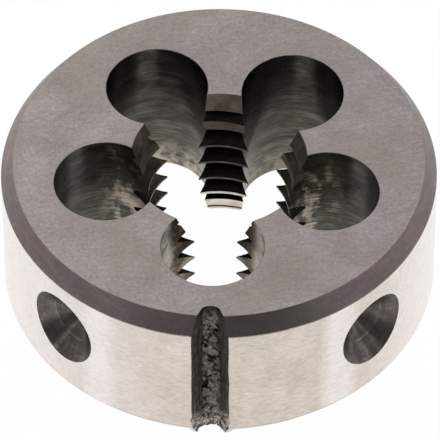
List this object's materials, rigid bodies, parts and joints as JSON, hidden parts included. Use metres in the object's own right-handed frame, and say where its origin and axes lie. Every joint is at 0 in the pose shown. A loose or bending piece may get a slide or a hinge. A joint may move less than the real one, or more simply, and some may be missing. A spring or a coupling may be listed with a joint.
{
  "type": "round threading die",
  "caption": "Disc-shaped die with a right-hand threaded bore, clearance holes between lands of cutting teeth, lead-in cones, a grooved rim and conical screw seats.",
  "frame": {"origin": "centre of the lower face, on the axis of the thread", "axes": "+Z along the axis of the thread towards the upper face; -Y through the rim groove"},
  "size_m": [0.045, 0.0449, 0.018],
  "materials": {
    "tool_steel": "hardened tool steel, faces and rim ground, holes and thread left dark from hardening"
  },
  "bodies": {
    "root": {"die_body": "tool_steel"}
  },
  "joints": []
}
